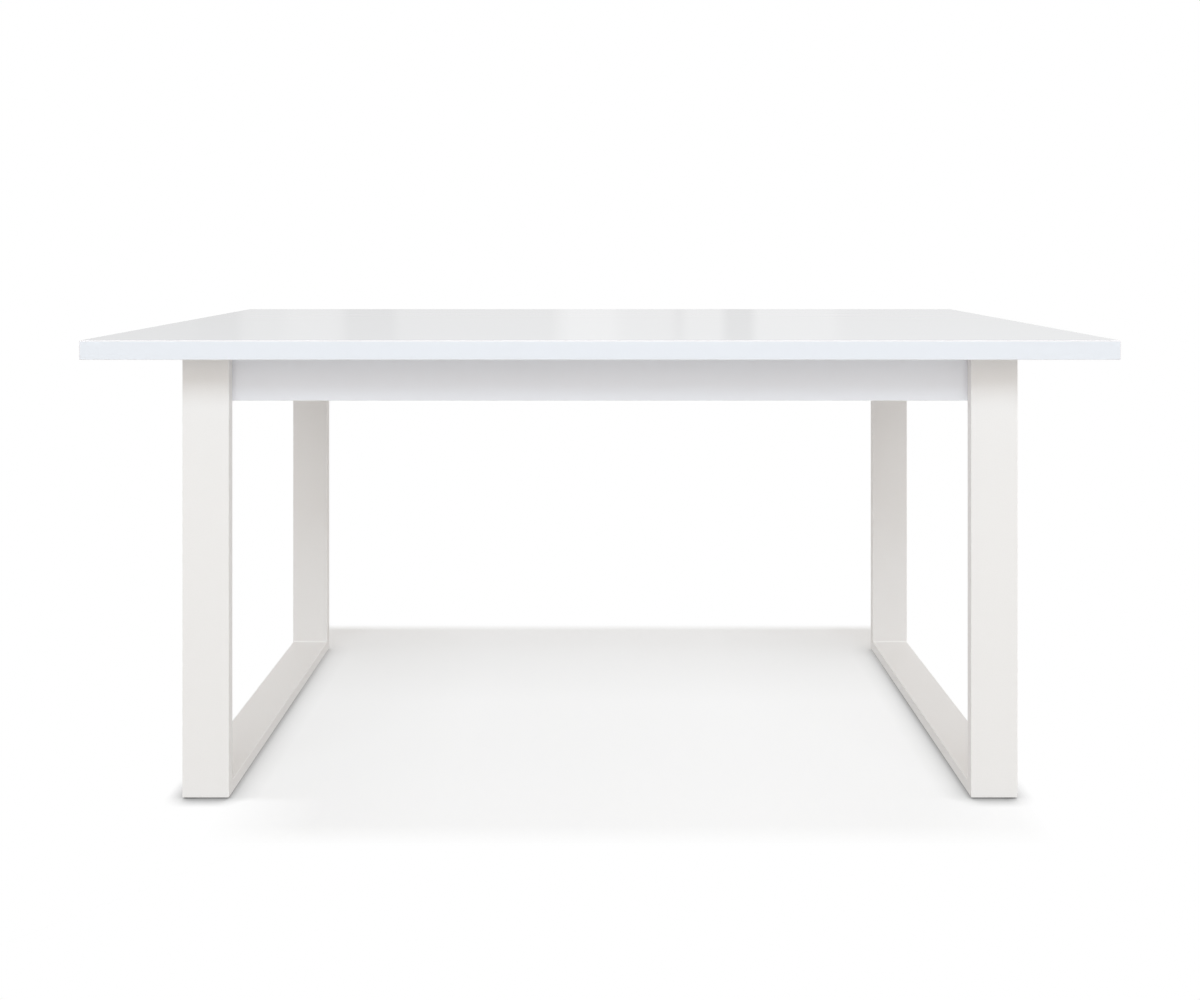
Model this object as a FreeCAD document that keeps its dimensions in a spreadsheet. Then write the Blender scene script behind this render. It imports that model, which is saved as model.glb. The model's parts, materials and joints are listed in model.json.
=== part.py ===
# Dining table on two sled frames: a lacquered top, an apron box under it and welded tube frames.
# Millimetres, +Z up. The origin is on the floor under the middle of the top, X runs along the table
# and the front faces -Y.

import FreeCAD, Part
import Sketcher
import math
import operator
import os
from enum import IntEnum
from types import SimpleNamespace

# Driving dimensions, each with the name of its cell in the sheet
SIZES = {
    # table top
    "top_length": 1600.0,
    "top_depth": 900.0,
    "top_thickness": 30.0,
    "top_arris_radius": 3.0,
    "top_lower_arris_radius": 1.0,
    "table_height": 745.0,
    "end_overhang": 128.0,
    "side_overhang": 90.0,
    # sled frames of rectangular tube
    "tube_width": 75.0,
    "tube_depth": 20.0,
    "tube_wall": 2.0,
    "tube_edge_radius": 1.5,
    "mitre_nose_radius": 1.8,
    "weld_leg": 3.0,
    "plate_thickness": 6.0,
    # floor glides
    "glide_height": 2.0,
    "glide_diameter": 28.0,
    "glide_chamfer": 1.0,
    "glide_stem_diameter": 8.0,
    "glide_stem_length": 9.0,
    "glide_end_distance": 60.0,
    # apron box
    "apron_height": 77.0,
    "apron_thickness": 22.0,
    "apron_arris_radius": 1.0,
    "apron_end_reveal": 5.0,
    "apron_bolt_edge": 16.0,
    "notch_clearance": 1.0,
    "cross_rail_height": 60.0,
    "cross_rail_thickness": 22.0,
    "block_setback": 8.0,
    "block_clearance": 3.0,
    # wooden dowels
    "dowel_diameter": 8.0,
    "dowel_length": 36.0,
    "dowel_seat": 13.0,
    "dowel_chamfer": 1.0,
    "dowel_clearance": 0.05,
    # button head bolts and washers
    "bolt_diameter": 6.0,
    "bolt_tip_chamfer": 0.8,
    "bolt_head_diameter": 10.5,
    "bolt_head_height": 3.3,
    "bolt_socket": 4.0,
    "bolt_socket_depth": 2.0,
    "bolt_clearance": 0.5,
    "thread_clearance": 0.05,
    "washer_diameter": 18.0,
    "washer_thickness": 1.6,
    "plate_bolt_edge": 20.0,
    "plate_bolt_grip": 12.4,
    "apron_bolt_grip": 11.4,
    # threaded inserts in the top
    "insert_diameter": 10.0,
    "insert_length": 15.0,
    "insert_chamfer": 1.0,
    "insert_end_room": 2.0,
    # rivet nuts in the legs
    "rivet_sleeve_diameter": 9.0,
    "rivet_length": 13.0,
    "rivet_flange_diameter": 13.0,
    "rivet_flange_thickness": 1.2,
    "rivet_bulge_diameter": 12.0,
    "rivet_bulge_length": 4.0,
    "rivet_clearance": 0.05,
    "counterbore_clearance": 0.3,
    # angle brackets and their wood screws
    "bracket_leg": 22.0,
    "bracket_width": 18.0,
    "bracket_gauge": 2.0,
    "bracket_edge_radius": 1.0,
    "bracket_hole_distance": 13.0,
    "screw_diameter": 3.5,
    "screw_length": 16.0,
    "screw_tip_length": 3.0,
    "screw_head_diameter": 7.0,
    "screw_head_height": 2.2,
    "screw_slot_length": 4.0,
    "screw_slot_width": 1.0,
    "screw_slot_depth": 1.2,
    "screw_clearance": 0.2,
    "pilot_clearance": 0.05,
}

# Counts, and places given as shares of the sizes that they follow
PLATE_BOLT_COUNT = 4
PLATE_BOLT_SPAN_SHARE = 0.85
BRACKET_COUNT = 4
BRACKET_SPAN_SHARE = 0.81
PAIR_COUNT = 2
PAIR_LOW_SHARE = 0.25
PAIR_SPAN_SHARE = 0.5
BLOCK_TIP_SHARE = 0.15
BORE_REACH_SHARE = 0.5
HEX_CORNER_SHARE = 1 / math.sqrt(3)
MITRE_NOSE_SHARE = 1 - math.sqrt(0.5)

# The most that two equal places may differ in the last digits
ROUNDING = 1e-6

HALF_TURN_DEGREES = 180
QUARTER_TURN_DEGREES = 90
X_AXIS = FreeCAD.Vector(1, 0, 0)
Y_AXIS = FreeCAD.Vector(0, 1, 0)
Z_AXIS = FreeCAD.Vector(0, 0, 1)


class Axis(IntEnum):
    """A sketch's own axes, by the sketcher's numbers."""

    HORIZONTAL = -1
    VERTICAL = -2


class Point(IntEnum):
    """The points of a curve in a sketch, by the sketcher's numbers."""

    START = 1
    END = 2
    CENTRE = 3


class Size:
    """A length together with the sheet expression that gives it, so sums of sizes stay bound to the sheet."""

    def __init__(self, text, value):
        self.text = text
        self.value = value

    def joined(self, sign, other, work):
        if not isinstance(other, Size):
            other = Size(repr(other), other)
        return Size(f"({self.text} {sign} {other.text})", work(self.value, other.value))

    def __add__(self, other):
        return self.joined("+", other, operator.add)

    def __sub__(self, other):
        return self.joined("-", other, operator.sub)

    def __mul__(self, other):
        return self.joined("*", other, operator.mul)

    def __truediv__(self, other):
        return self.joined("/", other, operator.truediv)

    def __neg__(self):
        return self * -1


NOUGHT = Size("0", 0.0)
s = SimpleNamespace(**{alias: Size(f"sizes.{alias}", value) for alias, value in SIZES.items()})

# Places that several pieces share
UNDERSIDE = s.table_height - s.top_thickness
LEG_TOP = UNDERSIDE - s.plate_thickness
LEG_LENGTH = LEG_TOP - s.glide_height
FRAME_DEPTH = s.top_depth - s.side_overhang * 2
FRAME_OUTER_X = s.top_length / 2 - s.end_overhang
FRAME_X = FRAME_OUTER_X - s.tube_width / 2
FRAME_INNER_X = FRAME_OUTER_X - s.tube_width
LEG_BACK_Y = FRAME_DEPTH / 2 - s.tube_depth
APRON_BACK_Y = LEG_BACK_Y - s.apron_thickness
APRON_END_X = FRAME_OUTER_X - s.apron_end_reveal
APRON_BOTTOM = UNDERSIDE - s.apron_height
NOTCH_HEIGHT = s.apron_height - s.plate_thickness - s.notch_clearance
END_APRON_INNER_X = APRON_END_X - s.apron_thickness
CROSS_LENGTH = APRON_BACK_Y * 2
APRON_BOLT_X = FRAME_INNER_X + s.apron_bolt_edge
PLATE_BOLT_X = FRAME_INNER_X + s.plate_bolt_edge
PLATE_BOLT_SPAN = CROSS_LENGTH * PLATE_BOLT_SPAN_SHARE
BRACKET_SPAN = FRAME_INNER_X * 2 * BRACKET_SPAN_SHARE
BLOCK_LEG = END_APRON_INNER_X - APRON_BOLT_X - s.washer_diameter / 2 - s.block_clearance

# Hole sizes that follow the piece in them
BOLT_HOLE = s.bolt_diameter + s.bolt_clearance * 2
THREAD_BORE = s.bolt_diameter + s.thread_clearance * 2
DOWEL_HOLE = s.dowel_diameter + s.dowel_clearance * 2
RIVET_HOLE = s.rivet_sleeve_diameter + s.rivet_clearance * 2
SCREW_HOLE = s.screw_diameter + s.screw_clearance * 2
PILOT_HOLE = s.screw_diameter + s.pilot_clearance * 2
PILOT_DEPTH = s.screw_length - s.bracket_gauge + s.screw_clearance
DOWEL_TAIL = s.dowel_length - s.dowel_seat

doc = FreeCAD.newDocument("dining_table")
parts = []


def make_sheet():
    """The sheet that holds the driving dimensions, one named cell each."""
    sheet = doc.addObject("Spreadsheet::Sheet", "sizes")
    for row, (alias, value) in enumerate(SIZES.items(), start=1):
        sheet.set(f"A{row}", alias)
        sheet.set(f"B{row}", str(value))
        sheet.setAlias(f"B{row}", alias)
    doc.recompute()


# Helpers that build a body from sketches whose points are bound to the sheet

def new_body(label):
    body = doc.addObject("PartDesign::Body", label)
    body.Label = label
    parts.append(body)
    return body


def place(body, x=NOUGHT, y=NOUGHT, z=NOUGHT, axis=Z_AXIS, angle=0):
    body.Placement = FreeCAD.Placement(FreeCAD.Vector(), FreeCAD.Rotation(axis, angle))
    for name, length in zip("xyz", (x, y, z)):
        body.setExpression(f"Placement.Base.{name}", length.text)


def origin_feature(body, role):
    return next(feature for feature in body.Origin.OriginFeatures if feature.Role == role)


def new_sketch(body, plane, name, offset=NOUGHT):
    sketch = body.newObject("Sketcher::SketchObject", f"{body.Name}_{name}")
    sketch.AttachmentSupport = [(origin_feature(body, plane), "")]
    sketch.MapMode = "FlatFace"
    if offset is not NOUGHT:
        sketch.setExpression("AttachmentOffset.Base.z", offset.text)
    return sketch


def hold(sketch, curve, point, kind, length):
    """Ties one coordinate of a point of the sketch to a named place."""
    if length is NOUGHT:
        axis = Axis.VERTICAL if kind == "DistanceX" else Axis.HORIZONTAL
        sketch.addConstraint(Sketcher.Constraint("PointOnObject", curve, point, axis))
        return
    origin = (Axis.HORIZONTAL, Point.START)
    index = sketch.addConstraint(Sketcher.Constraint(kind, *origin, curve, point, length.value))
    sketch.setExpression(f"Constraints[{index}]", length.text)


def vector(x, y):
    return FreeCAD.Vector(x.value, y.value, 0)


def arc_between(start, end, centre):
    """The shorter arc round a centre, and whether it runs from its start to its end."""
    whole = Part.Circle(centre, Z_AXIS, (start - centre).Length)
    angles = [math.atan2(p.y - centre.y, p.x - centre.x) for p in (start, end)]
    forwards = (start - centre).cross(end - centre).z > 0
    if not forwards:
        angles.reverse()
    if angles[1] < angles[0]:
        angles[1] += math.tau
    return Part.ArcOfCircle(whole, *angles), forwards


def outline(sketch, stretches):
    """A closed outline. A stretch is the x and y where it starts, and for an arc those of its centre too."""
    ends = []
    for stretch, following in zip(stretches, stretches[1:] + stretches[:1]):
        start = vector(*stretch[:2])
        end = vector(*following[:2])
        if len(stretch) == 2:
            curve = sketch.addGeometry(Part.LineSegment(start, end), False)
            ends.append((curve, Point.START, Point.END))
            continue
        arc, forwards = arc_between(start, end, vector(*stretch[2:]))
        curve = sketch.addGeometry(arc, False)
        ends.append((curve, Point.START, Point.END) if forwards else (curve, Point.END, Point.START))
        hold(sketch, curve, Point.CENTRE, "DistanceX", stretch[2])
    for index, (curve, first, last) in enumerate(ends):
        following, entry = ends[(index + 1) % len(ends)][:2]
        sketch.addConstraint(Sketcher.Constraint("Coincident", curve, last, following, entry))
        hold(sketch, curve, first, "DistanceX", stretches[index][0])
        hold(sketch, curve, first, "DistanceY", stretches[index][1])


def rectangle(sketch, low_x, high_x, low_y, high_y):
    outline(sketch, [(low_x, low_y), (high_x, low_y), (high_x, high_y), (low_x, high_y)])


def circle(sketch, x, y, diameter):
    shape = Part.Circle(vector(x, y), Z_AXIS, diameter.value / 2)
    curve = sketch.addGeometry(shape, False)
    hold(sketch, curve, Point.CENTRE, "DistanceX", x)
    hold(sketch, curve, Point.CENTRE, "DistanceY", y)
    index = sketch.addConstraint(Sketcher.Constraint("Diameter", curve, diameter.value))
    sketch.setExpression(f"Constraints[{index}]", diameter.text)


def extrude(kind, body, sketch, length, backwards=False, symmetric=False):
    feature = body.newObject(f"PartDesign::{kind}", f"{sketch.Name}_{kind.lower()}")
    feature.Profile = sketch
    feature.Reversed = backwards
    feature.SideType = "Symmetric" if symmetric else "One side"
    feature.setExpression("Length", length.text)
    doc.recompute()
    return feature


def pad(body, sketch, length, **options):
    return extrude("Pad", body, sketch, length, **options)


def pocket(body, sketch, depth, **options):
    """A pocket. One that points away from the solid cuts nothing and shows no error, so it is refused."""
    before = body.Shape.Volume
    feature = extrude("Pocket", body, sketch, depth, **options)
    if body.Shape.Volume >= before:
        raise RuntimeError(f"{feature.Name} cuts nothing")
    return feature


def revolve(body, sketch):
    feature = body.newObject("PartDesign::Revolution", f"{sketch.Name}_revolution")
    feature.Profile = sketch
    feature.ReferenceAxis = (sketch, ["V_Axis"])
    doc.recompute()
    return feature


def fillet(body, feature, radius, chosen):
    """Rounds the edges that the chosen test picks."""
    names = [f"Edge{number}" for number, edge in enumerate(feature.Shape.Edges, start=1) if chosen(edge)]
    rounding = body.newObject("PartDesign::Fillet", f"{feature.Name}_fillet")
    rounding.Base = (feature, names)
    rounding.setExpression("Radius", radius.text)
    doc.recompute()
    return rounding


def runs_along(edge, direction):
    """True for a straight edge in that direction."""
    if not isinstance(edge.Curve, Part.Line):
        return False
    return edge.tangentAt(edge.FirstParameter).cross(direction).Length < ROUNDING


def is_at_base(edge):
    """True for an edge in the plane that a piece is drawn up from."""
    return abs(edge.CenterOfMass.z) < ROUNDING


def repeat(body, axis, span, count):
    """A row of copies of the whole body along one of its axes, the last a span away from the first."""
    row = body.newObject("PartDesign::LinearPattern", f"{body.Name}_row")
    row.TransformMode = "Whole shape"
    row.Direction = (origin_feature(body, axis), [""])
    row.Occurrences = count
    row.setExpression("Length", span.text)
    body.Tip = row
    doc.recompute()


def mirror(body, plane):
    """The whole body and its mirror image in one of its planes."""
    image = body.newObject("PartDesign::Mirrored", f"{body.Name}_mirror")
    image.TransformMode = "Whole shape"
    image.MirrorPlane = (origin_feature(body, plane), [""])
    body.Tip = image
    doc.recompute()


def spread(span, count):
    """Places an even step apart, over a span whose middle is at nought."""
    return [span * (index / (count - 1) - 1 / 2) for index in range(count)]


def pair(height):
    """The heights of two fixings, one over the other, on a piece of that height."""
    low = height * PAIR_LOW_SHARE
    return [low, low + height * PAIR_SPAN_SHARE]


# Table top

def table_top():
    body = new_body("table_top")
    board = new_sketch(body, "XY_Plane", "board")
    rectangle(board, -(s.top_length / 2), s.top_length / 2, -(s.top_depth / 2), s.top_depth / 2)
    slab = pad(body, board, s.top_thickness)
    rounded = fillet(body, slab, s.top_arris_radius, lambda edge: not is_at_base(edge))
    fillet(body, rounded, s.top_lower_arris_radius, is_at_base)

    inserts = new_sketch(body, "XY_Plane", "insert_holes")
    for x in (-PLATE_BOLT_X, PLATE_BOLT_X):
        for y in spread(PLATE_BOLT_SPAN, PLATE_BOLT_COUNT):
            circle(inserts, x, y, s.insert_diameter)
    pocket(body, inserts, s.insert_length + s.insert_end_room, backwards=True)

    pilots = new_sketch(body, "XY_Plane", "bracket_pilots")
    screw_y = APRON_BACK_Y - s.bracket_hole_distance
    for x in spread(BRACKET_SPAN, BRACKET_COUNT):
        for y in (-screw_y, screw_y):
            circle(pilots, x, y, PILOT_HOLE)
    pocket(body, pilots, PILOT_DEPTH, backwards=True)
    place(body, z=UNDERSIDE)


# Sled frames. A leg's own frame has its outer face at y 0, its middle at x 0 and the rail's underside at z 0.

def leg(label, side, end):
    body = new_body(label)
    nose = s.mitre_nose_radius * MITRE_NOSE_SHARE
    profile = new_sketch(body, "YZ_Plane", "side")
    outline(profile, [
        (NOUGHT, LEG_LENGTH),
        (s.tube_depth, LEG_LENGTH),
        (s.tube_depth, s.tube_depth),
        (nose, nose, s.mitre_nose_radius, s.mitre_nose_radius),
        (NOUGHT, s.mitre_nose_radius),
    ])
    tube = pad(body, profile, s.tube_width, symmetric=True)
    fillet(body, tube, s.tube_edge_radius, lambda edge: runs_along(edge, Z_AXIS))

    half_bore = s.tube_width / 2 - s.tube_wall
    bore = new_sketch(body, "XY_Plane", "bore")
    rectangle(bore, -half_bore, half_bore, s.tube_wall, s.tube_depth - s.tube_wall)
    pocket(body, bore, LEG_LENGTH, backwards=True)

    holes = new_sketch(body, "XZ_Plane", "rivet_holes", -s.tube_depth)
    inwards = (FRAME_X - APRON_BOLT_X) * (side * end)
    for height in pair(NOTCH_HEIGHT):
        circle(holes, inwards, APRON_BOTTOM + height - s.glide_height, RIVET_HOLE)
    pocket(body, holes, s.tube_depth * BORE_REACH_SHARE, backwards=True)
    place(
        body,
        x=FRAME_X * side,
        y=FRAME_DEPTH / 2 * end,
        z=s.glide_height,
        angle=0 if end < 0 else HALF_TURN_DEGREES,
    )


def floor_rail(label, side):
    body = new_body(label)
    radius = s.mitre_nose_radius
    nose = radius * MITRE_NOSE_SHARE
    half = FRAME_DEPTH / 2
    profile = new_sketch(body, "YZ_Plane", "side")
    outline(profile, [
        (radius - half, NOUGHT),
        (half - radius, NOUGHT, half - radius, radius),
        (half - nose, nose),
        (half - s.tube_depth, s.tube_depth),
        (s.tube_depth - half, s.tube_depth),
        (nose - half, nose, radius - half, radius),
    ])
    tube = pad(body, profile, s.tube_width, symmetric=True)
    fillet(body, tube, s.tube_edge_radius, lambda edge: runs_along(edge, Y_AXIS))

    half_bore = s.tube_width / 2 - s.tube_wall
    bore = new_sketch(body, "XZ_Plane", "bore")
    rectangle(bore, -half_bore, half_bore, s.tube_wall, s.tube_depth - s.tube_wall)
    pocket(body, bore, FRAME_DEPTH, symmetric=True)

    holes = new_sketch(body, "XY_Plane", "glide_holes")
    stem_y = half - s.glide_end_distance
    for y in (-stem_y, stem_y):
        circle(holes, NOUGHT, y, s.glide_stem_diameter)
    pocket(body, holes, s.tube_depth * BORE_REACH_SHARE, backwards=True)
    place(body, x=FRAME_X * side, z=s.glide_height)


def top_plate(label, side):
    body = new_body(label)
    bar = new_sketch(body, "XY_Plane", "bar")
    rectangle(bar, -(s.tube_width / 2), s.tube_width / 2, -(FRAME_DEPTH / 2), FRAME_DEPTH / 2)
    slab = pad(body, bar, s.plate_thickness)
    fillet(body, slab, s.tube_edge_radius, lambda edge: runs_along(edge, Z_AXIS))

    holes = new_sketch(body, "XY_Plane", "bolt_holes")
    for y in spread(PLATE_BOLT_SPAN, PLATE_BOLT_COUNT):
        circle(holes, (PLATE_BOLT_X - FRAME_X) * side, y, BOLT_HOLE)
    pocket(body, holes, s.plate_thickness, backwards=True)
    place(body, x=FRAME_X * side, z=LEG_TOP)


def frame_welds(label, side):
    """Hollow fillet welds in the two inner corners between the legs and the floor rail."""
    body = new_body(label)
    corner_y = s.tube_depth - FRAME_DEPTH / 2
    corner_z = s.tube_depth
    profile = new_sketch(body, "YZ_Plane", "bead")
    outline(profile, [
        (corner_y, corner_z),
        (corner_y + s.weld_leg, corner_z, corner_y + s.weld_leg, corner_z + s.weld_leg),
        (corner_y, corner_z + s.weld_leg),
    ])
    pad(body, profile, s.tube_width - s.tube_edge_radius * 2, symmetric=True)
    mirror(body, "XZ_Plane")
    place(body, x=FRAME_X * side, z=s.glide_height)


def glide(label, side, end):
    body = new_body(label)
    radius = s.glide_diameter / 2
    stem = s.glide_stem_diameter / 2
    tip = s.glide_height + s.glide_stem_length
    profile = new_sketch(body, "XZ_Plane", "half")
    outline(profile, [
        (NOUGHT, NOUGHT),
        (radius - s.glide_chamfer, NOUGHT),
        (radius, s.glide_chamfer),
        (radius, s.glide_height),
        (stem, s.glide_height),
        (stem, tip - s.glide_chamfer),
        (stem - s.glide_chamfer, tip),
        (NOUGHT, tip),
    ])
    revolve(body, profile)
    place(body, x=FRAME_X * side, y=(FRAME_DEPTH / 2 - s.glide_end_distance) * end)


# Apron box. A long apron's own frame has its outer face at y 0 and its lower edge at z 0.

def long_apron(label, end):
    body = new_body(label)
    notch_x = FRAME_INNER_X - s.notch_clearance
    profile = new_sketch(body, "XZ_Plane", "face")
    outline(profile, [
        (-APRON_END_X, NOUGHT),
        (APRON_END_X, NOUGHT),
        (APRON_END_X, NOTCH_HEIGHT),
        (notch_x, NOTCH_HEIGHT),
        (notch_x, s.apron_height),
        (-notch_x, s.apron_height),
        (-notch_x, NOTCH_HEIGHT),
        (-APRON_END_X, NOTCH_HEIGHT),
    ])
    board = pad(body, profile, s.apron_thickness, backwards=True)
    fillet(body, board, s.apron_arris_radius, is_lower_edge)

    bolt_places = [(x, z) for x in (-APRON_BOLT_X, APRON_BOLT_X) for z in pair(NOTCH_HEIGHT)]
    seats = new_sketch(body, "XZ_Plane", "rivet_seats")
    bolts = new_sketch(body, "XZ_Plane", "bolt_holes")
    for x, z in bolt_places:
        circle(seats, x, z, s.rivet_flange_diameter + s.counterbore_clearance * 2)
        circle(bolts, x, z, BOLT_HOLE)
    pocket(body, seats, s.rivet_flange_thickness + s.counterbore_clearance)
    pocket(body, bolts, s.apron_thickness)

    dowels = new_sketch(body, "XZ_Plane", "dowel_holes", -s.apron_thickness)
    dowel_x = APRON_END_X - s.apron_thickness / 2
    for z in pair(NOTCH_HEIGHT):
        circle(dowels, -dowel_x, z, DOWEL_HOLE)
        circle(dowels, dowel_x, z, DOWEL_HOLE)
    for z in pair(s.cross_rail_height):
        circle(dowels, NOUGHT, s.apron_height - s.cross_rail_height + z, DOWEL_HOLE)
    pocket(body, dowels, s.dowel_seat + s.dowel_chamfer, backwards=True)

    pilots = new_sketch(body, "XZ_Plane", "bracket_pilots", -s.apron_thickness)
    for x in spread(BRACKET_SPAN, BRACKET_COUNT):
        circle(pilots, x, s.apron_height - s.bracket_hole_distance, PILOT_HOLE)
    pocket(body, pilots, PILOT_DEPTH, backwards=True)
    place(body, y=LEG_BACK_Y * end, z=APRON_BOTTOM, angle=0 if end < 0 else HALF_TURN_DEGREES)


def is_lower_edge(edge):
    """True for the long edges along the bottom of an apron."""
    return runs_along(edge, X_AXIS) and is_at_base(edge)


def cross_board(label, height, thickness):
    """A board between the long aprons with dowel holes in both ends, its thickness along X about nought."""
    body = new_body(label)
    profile = new_sketch(body, "YZ_Plane", "face")
    rectangle(profile, -(CROSS_LENGTH / 2), CROSS_LENGTH / 2, NOUGHT, height)
    board = pad(body, profile, thickness, symmetric=True)
    fillet(body, board, s.apron_arris_radius, is_lower_end_edge)
    for name, offset, backwards in (("front", CROSS_LENGTH / 2, False), ("rear", -(CROSS_LENGTH / 2), True)):
        dowels = new_sketch(body, "XZ_Plane", f"{name}_dowel_holes", offset)
        for z in pair(height):
            circle(dowels, NOUGHT, z, DOWEL_HOLE)
        pocket(body, dowels, DOWEL_TAIL + s.dowel_chamfer, backwards=backwards)
    return body


def is_lower_end_edge(edge):
    """True for the edges along the bottom of a cross board."""
    return runs_along(edge, Y_AXIS) and is_at_base(edge)


def corner_block(label, side, end, angle):
    body = new_body(label)
    tip = BLOCK_LEG * BLOCK_TIP_SHARE
    profile = new_sketch(body, "XY_Plane", "section")
    outline(profile, [
        (NOUGHT, NOUGHT),
        (BLOCK_LEG, NOUGHT),
        (BLOCK_LEG, tip),
        (tip, BLOCK_LEG),
        (NOUGHT, BLOCK_LEG),
    ])
    pad(body, profile, NOTCH_HEIGHT - s.block_setback)
    place(
        body,
        x=END_APRON_INNER_X * side,
        y=APRON_BACK_Y * end,
        z=APRON_BOTTOM + s.block_setback,
        angle=angle,
    )


# Fixings. Each is drawn about its own Z axis, with the face that it seats on at a given height.

def dowel_group(label, x, height, base):
    """Two dowels over each other at the front, and their mirror images at the rear."""
    body = new_body(label)
    radius = s.dowel_diameter / 2
    low = APRON_BACK_Y - DOWEL_TAIL
    high = APRON_BACK_Y + s.dowel_seat
    profile = new_sketch(body, "XZ_Plane", "half")
    outline(profile, [
        (NOUGHT, low),
        (radius - s.dowel_chamfer, low),
        (radius, low + s.dowel_chamfer),
        (radius, high - s.dowel_chamfer),
        (radius - s.dowel_chamfer, high),
        (NOUGHT, high),
    ])
    revolve(body, profile)
    stand_across(body, x, height, base)


def stand_across(body, x, height, base):
    """Repeats a fixing upwards, mirrors it to the rear and turns its axis from upright to across."""
    low, high = pair(height)
    repeat(body, "Y_Axis", high - low, PAIR_COUNT)
    mirror(body, "XY_Plane")
    place(body, x=x, z=base + low, axis=X_AXIS, angle=QUARTER_TURN_DEGREES)


def bolt(body, seat, length):
    """A button head bolt with a hexagon socket: its head is under the seat and its shank goes up."""
    head = s.bolt_head_diameter / 2
    shank = s.bolt_diameter / 2
    crown = seat - s.bolt_head_height
    tip = seat + length
    centre = crown + dome_radius(s.bolt_head_diameter, s.bolt_head_height)
    profile = new_sketch(body, "XZ_Plane", "half")
    outline(profile, [
        (NOUGHT, crown, NOUGHT, centre),
        (head, seat),
        (shank, seat),
        (shank, tip - s.bolt_tip_chamfer),
        (shank - s.bolt_tip_chamfer, tip),
        (NOUGHT, tip),
    ])
    revolve(body, profile)

    corner = s.bolt_socket * HEX_CORNER_SHARE
    flat = s.bolt_socket / 2
    socket = new_sketch(body, "XY_Plane", "socket", crown)
    outline(socket, [
        (corner, NOUGHT),
        (corner / 2, flat),
        (-(corner / 2), flat),
        (-corner, NOUGHT),
        (-(corner / 2), -flat),
        (corner / 2, -flat),
    ])
    pocket(body, socket, s.bolt_socket_depth, backwards=True)


def dome_radius(diameter, height):
    """The radius of a spherical cap of that diameter and height."""
    half = diameter / 2
    return (half * half + height * height) / (height * 2)


def washer(body, low):
    ring = new_sketch(body, "XY_Plane", "ring", low)
    circle(ring, NOUGHT, NOUGHT, s.washer_diameter)
    circle(ring, NOUGHT, NOUGHT, BOLT_HOLE)
    pad(body, ring, s.washer_thickness)


def plate_fixings(side_name, side):
    """The bolts, washers and threaded inserts that hold one frame's plate to the top."""
    length = s.washer_thickness + s.plate_thickness + s.plate_bolt_grip
    bolts = new_body(f"{side_name}_plate_bolts")
    bolt(bolts, LEG_TOP - s.washer_thickness, length)
    washers = new_body(f"{side_name}_plate_washers")
    washer(washers, LEG_TOP - s.washer_thickness)
    inserts = new_body(f"{side_name}_top_inserts")
    threaded_insert(inserts)
    for body in (bolts, washers, inserts):
        repeat(body, "Y_Axis", PLATE_BOLT_SPAN, PLATE_BOLT_COUNT)
        place(body, x=PLATE_BOLT_X * side, y=-(PLATE_BOLT_SPAN / 2))


def threaded_insert(body):
    bore = THREAD_BORE / 2
    radius = s.insert_diameter / 2
    tip = UNDERSIDE + s.insert_length
    profile = new_sketch(body, "XZ_Plane", "half")
    outline(profile, [
        (bore, UNDERSIDE),
        (radius, UNDERSIDE),
        (radius, tip - s.insert_chamfer),
        (radius - s.insert_chamfer, tip),
        (bore, tip),
    ])
    revolve(body, profile)


def apron_fixings(side_name, side):
    """The bolts and washers inside the apron box, and the rivet nuts in the legs that they screw into."""
    length = s.washer_thickness + s.apron_thickness + s.apron_bolt_grip
    bolts = new_body(f"{side_name}_apron_bolts")
    bolt(bolts, APRON_BACK_Y - s.washer_thickness, length)
    washers = new_body(f"{side_name}_apron_washers")
    washer(washers, APRON_BACK_Y - s.washer_thickness)
    nuts = new_body(f"{side_name}_rivet_nuts")
    rivet_nut(nuts)
    for body in (bolts, washers, nuts):
        stand_across(body, APRON_BOLT_X * side, NOTCH_HEIGHT, APRON_BOTTOM)


def rivet_nut(body):
    """A blind rivet nut whose flange seats on the back of a leg, with the bulge that grips the tube wall."""
    seat = LEG_BACK_Y
    bore = THREAD_BORE / 2
    flange = s.rivet_flange_diameter / 2
    sleeve = s.rivet_sleeve_diameter / 2
    bulge = s.rivet_bulge_diameter / 2
    grip = seat + s.tube_wall
    profile = new_sketch(body, "XZ_Plane", "half")
    outline(profile, [
        (bore, seat - s.rivet_flange_thickness),
        (flange, seat - s.rivet_flange_thickness),
        (flange, seat),
        (sleeve, seat),
        (sleeve, grip),
        (bulge, grip),
        (bulge, grip + s.rivet_bulge_length),
        (sleeve, grip + s.rivet_bulge_length),
        (sleeve, seat + s.rivet_length),
        (bore, seat + s.rivet_length),
    ])
    revolve(body, profile)


# Angle brackets between a long apron and the top, in a row along the apron

def brackets(label, end):
    body = new_body(label)
    profile = new_sketch(body, "YZ_Plane", "angle")
    outline(profile, [
        (NOUGHT, NOUGHT),
        (NOUGHT, -s.bracket_leg),
        (s.bracket_gauge, -s.bracket_leg),
        (s.bracket_gauge, -s.bracket_gauge),
        (s.bracket_leg, -s.bracket_gauge),
        (s.bracket_leg, NOUGHT),
    ])
    strip = pad(body, profile, s.bracket_width, symmetric=True)
    fillet(body, strip, s.bracket_edge_radius, is_bracket_corner)

    top_hole = new_sketch(body, "XY_Plane", "top_hole")
    circle(top_hole, NOUGHT, s.bracket_hole_distance, SCREW_HOLE)
    pocket(body, top_hole, s.bracket_gauge)
    apron_hole = new_sketch(body, "XZ_Plane", "apron_hole")
    circle(apron_hole, NOUGHT, -s.bracket_hole_distance, SCREW_HOLE)
    pocket(body, apron_hole, s.bracket_gauge)
    lay_along(body, end, APRON_BACK_Y, UNDERSIDE)


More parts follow.
